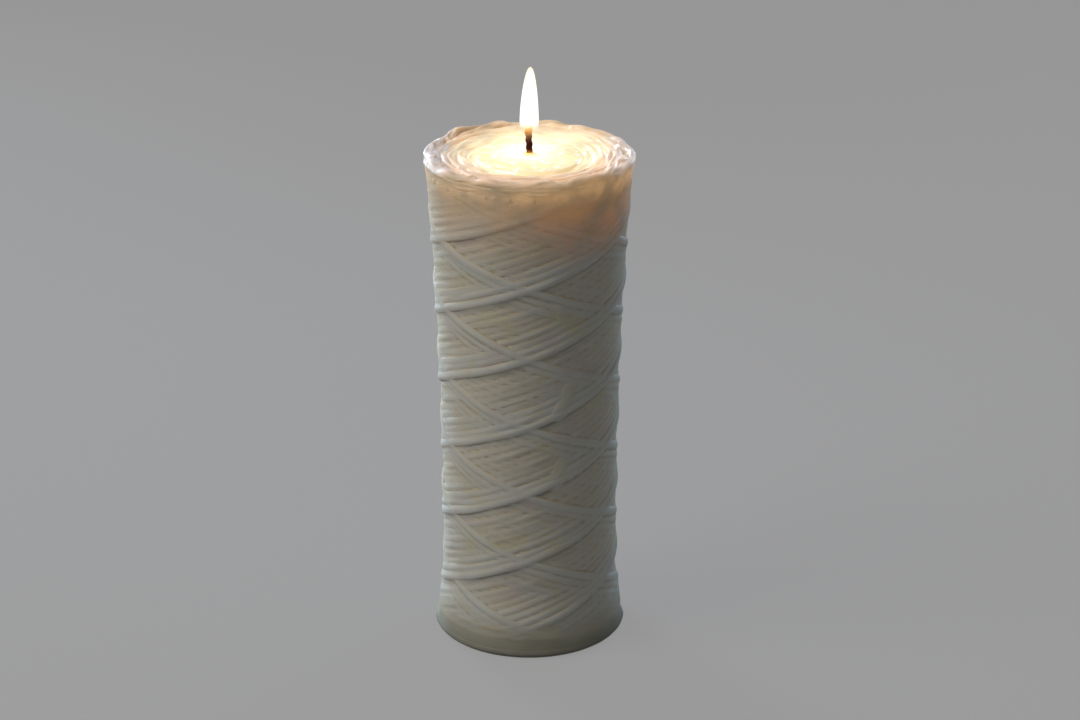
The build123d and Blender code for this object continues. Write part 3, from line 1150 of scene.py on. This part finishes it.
def makeRun(name, run):
    bm = bmesh.new()
    bmesh.ops.create_icosphere(bm, subdivisions=5, radius=mm)
    mesh = meshFrom(bm, name)
    across, out, upward = readPoints(mesh)
    middle = (run["top"] + run["bottom"]) / 2.0
    z = middle + upward * (run["top"] - run["bottom"]) / 2.0
    swell = 0.75 - 0.35 * upward + 0.15 * np.sin(upward * 5.0 + run["angle"])
    angle = run["angle"] - run["lean"] * upward + np.degrees(across * run["width"] * swell / outerRadius)
    lying = sum(waxHeight(angle + turn, z + rise) for turn, rise in runSpots) / len(runSpots) - runSunk
    crown = (run["height"] * swell + runSunk) * np.sqrt(np.abs(out))
    height = lying + np.where(out > 0.0, crown, out * 1.2)
    writeCylinder(mesh, angle, baseRadius(z) + height, z)
    addAttribute(mesh, "depth", depthAt(height, 0.3))
    addAttribute(mesh, "valley", 0.3)
    addAttribute(mesh, "along", upward * 2.0)
    addAttribute(mesh, "around", across)
    return finishPiece(name, mesh, wax)


for runName, waxRun in waxRuns.items():
    makeRun(runName, waxRun)
print("wax runs:", len(waxRuns))

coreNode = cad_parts["core"]
coreNode.data.materials.clear()
coreNode.data.materials.append(wax)


# Stage, light and camera, in metres
stage = {
    "floorHalf": 6.0,
    "floorColour": colour(172, 172, 172),
    "floorRoughness": 0.9,
    "floorSeen": colour(154, 153, 153),
    "skySeen": colour(158, 158, 158),
    "skyLight": (0.96, 0.98, 1.0, 1.0),
    "skyStrength": 0.26,
    "shadowShare": 0.1,
}


# 1 for the rays that show the backdrop, 0 for those that light the candle.
def seenRays(tree):
    rays = addNode(tree, "LightPath").outputs
    mirrored = calculate(tree, "MAXIMUM", rays["Is Glossy Ray"], rays["Is Transmission Ray"])
    return calculate(tree, "MAXIMUM", rays["Is Camera Ray"], mirrored)


def makeStage():
    bm = bmesh.new()
    bmesh.ops.create_grid(bm, x_segments=1, y_segments=1, size=stage["floorHalf"])
    floor = newObject("floor", meshFrom(bm, "floor"))
    made, tree, shader = newMaterial("paleFloor")
    setInputs(tree, shader, {"Base Color": stage["floorColour"], "Roughness": stage["floorRoughness"]})
    seen = addNode(tree, "Emission", {"Color": stage["floorSeen"]})
    share = calculate(tree, "MULTIPLY", seenRays(tree), 1.0 - stage["shadowShare"])
    both = addNode(tree, "MixShader", {0: share, 1: shader.outputs[0], 2: seen.outputs[0]})
    tree.links.new(both.outputs[0], tree.nodes["Material Output"].inputs["Surface"])
    floor.data.materials.append(made)
    world = bpy.data.worlds.new("studio")
    world.use_nodes = True
    bpy.context.scene.world = world
    tree = world.node_tree
    light = tree.nodes["Background"]
    setInputs(tree, light, {"Color": stage["skyLight"], "Strength": stage["skyStrength"]})
    seen = addNode(tree, "Background", {"Color": stage["skySeen"], "Strength": 1.0})
    both = addNode(tree, "MixShader", {0: seenRays(tree), 1: light.outputs[0], 2: seen.outputs[0]})
    tree.links.new(both.outputs[0], tree.nodes["World Output"].inputs["Surface"])


lamps = {
    "key": {
        "place": (-0.73, -0.28, 0.87), "size": 0.6, "spread": 180.0,
        "watts": 10.0, "colour": (1.0, 0.98, 0.95),
    },
    "leftEdge": {
        "place": (-0.55, 0.80, 0.30), "size": 0.4, "spread": 60.0,
        "watts": 1.9, "colour": (0.58, 0.79, 1.0),
    },
    "rightEdge": {
        "place": (0.55, 0.80, 0.30), "size": 0.4, "spread": 60.0,
        "watts": 0.65, "colour": (0.48, 0.73, 1.0),
    },
}
lampAim = Vector((0.0, 0.0, 0.09))
flameLamp = {"place": (0.0, 0.0, 0.1835), "radius": 0.003, "watts": 0.0085, "colour": (1.0, 0.82, 0.62)}


def placeLamp(name, kind, lamp):
    light = bpy.data.lights.new(name, kind)
    light.energy = lamp["watts"]
    light.color = lamp["colour"]
    holder = newObject(name, light)
    holder.location = lamp["place"]
    return light, holder


def makeLamps():
    for name, lamp in lamps.items():
        light, holder = placeLamp(name, "AREA", lamp)
        light.size = lamp["size"]
        light.spread = math.radians(lamp["spread"])
        aim = lampAim - Vector(lamp["place"])
        holder.rotation_euler = aim.to_track_quat("-Z", "Y").to_euler()
    light, holder = placeLamp("flameLight", "POINT", flameLamp)
    light.shadow_soft_size = flameLamp["radius"]


view = {"place": (0.00354, -0.921, 0.466), "tilt": 68.08, "lens": 99.6, "sensor": 36.0, "nearest": 0.01}


def makeCamera():
    camera = bpy.data.cameras.new("camera")
    camera.lens = view["lens"]
    camera.sensor_width = view["sensor"]
    camera.clip_start = view["nearest"]
    holder = newObject("camera", camera)
    holder.location = view["place"]
    holder.rotation_euler = (math.radians(view["tilt"]), 0.0, 0.0)
    bpy.context.scene.camera = holder


makeStage()
makeLamps()
makeCamera()
bpy.context.scene.view_settings.view_transform = "Standard"
print("stage, lamps and camera set")
